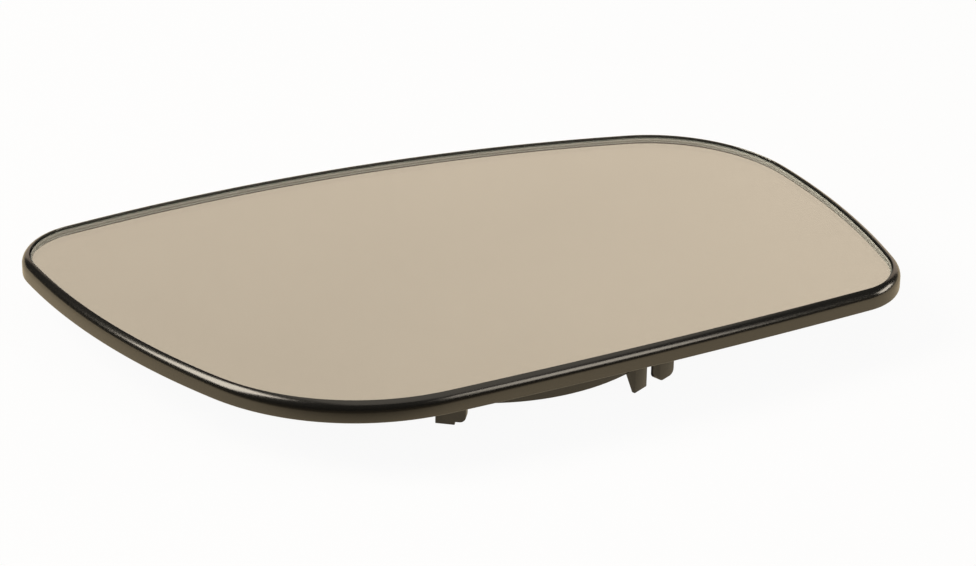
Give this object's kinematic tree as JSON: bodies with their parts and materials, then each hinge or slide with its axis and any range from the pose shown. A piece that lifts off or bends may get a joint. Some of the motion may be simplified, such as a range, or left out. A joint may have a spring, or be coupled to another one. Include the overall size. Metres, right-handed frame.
{
  "type": "car door mirror glass",
  "caption": "Convex car door mirror glass bonded into a black moulded backing plate with a crowned rim, and a ring of hook clips on the back.",
  "frame": {"origin": "centre of the mouth of the ring on the back of the plate", "axes": "+X along the lower edge of the glass, +Y up the glass, +Z out of the face of the glass along the ring's axis"},
  "size_m": [0.1764, 0.1099, 0.0189],
  "materials": {
    "silvered_glass": "polished glass with a chromed back",
    "foam_pad": "matt foam tape",
    "black_plastic": "moulded, satin"
  },
  "bodies": {
    "root": {"mirror_glass": "silvered_glass", "adhesive_pad": "foam_pad", "backing_plate": "black_plastic"}
  },
  "joints": []
}
